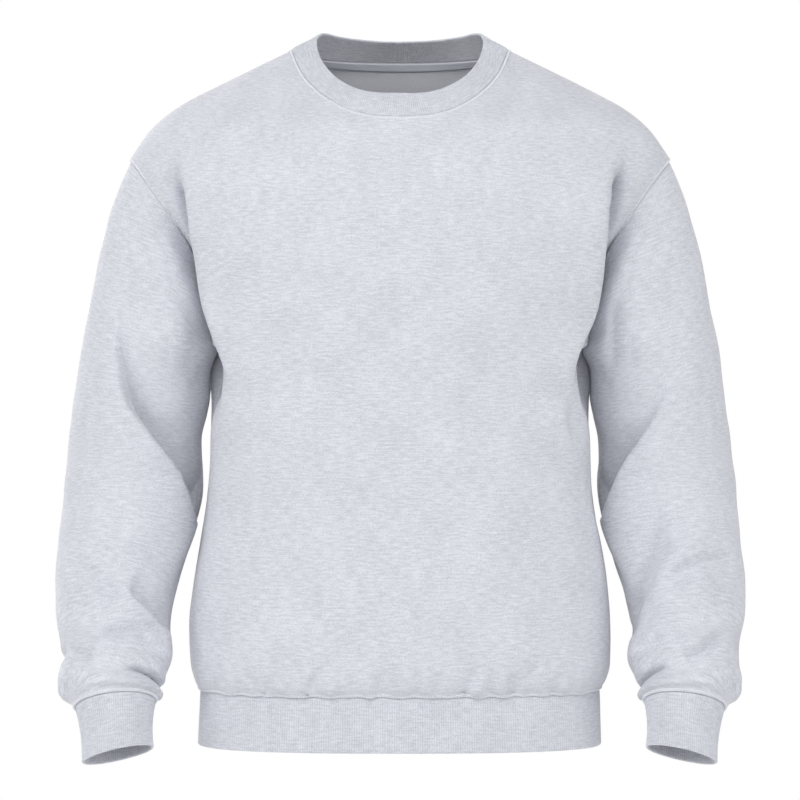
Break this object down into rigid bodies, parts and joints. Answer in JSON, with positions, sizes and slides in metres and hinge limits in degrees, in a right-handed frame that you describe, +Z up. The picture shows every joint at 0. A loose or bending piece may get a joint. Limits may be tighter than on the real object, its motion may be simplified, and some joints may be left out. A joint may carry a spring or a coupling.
{
  "type": "crewneck sweatshirt",
  "caption": "Ash-grey heather crewneck sweatshirt of fleece-backed jersey, hollow in its worn shape, with ribbed collar, cuffs and waistband",
  "frame": {"origin": "middle of the neck at the height of the side neck seams, where the garment is carried by a wearer's shoulders", "axes": "+X to the wearer's left, +Y to the back of the garment, +Z up towards the collar"},
  "size_m": [0.684, 0.2337, 0.7345],
  "materials": {
    "jersey": "matte heather jersey",
    "rib": "matte rib knit",
    "tape": "matte twill tape"
  },
  "bodies": {
    "root": {"front": "jersey", "back": "jersey", "sleeve_left": "jersey", "sleeve_right": "jersey", "collar": "rib", "waistband": "rib", "cuff_left": "rib", "cuff_right": "rib", "neck_tape": "tape"}
  },
  "joints": []
}
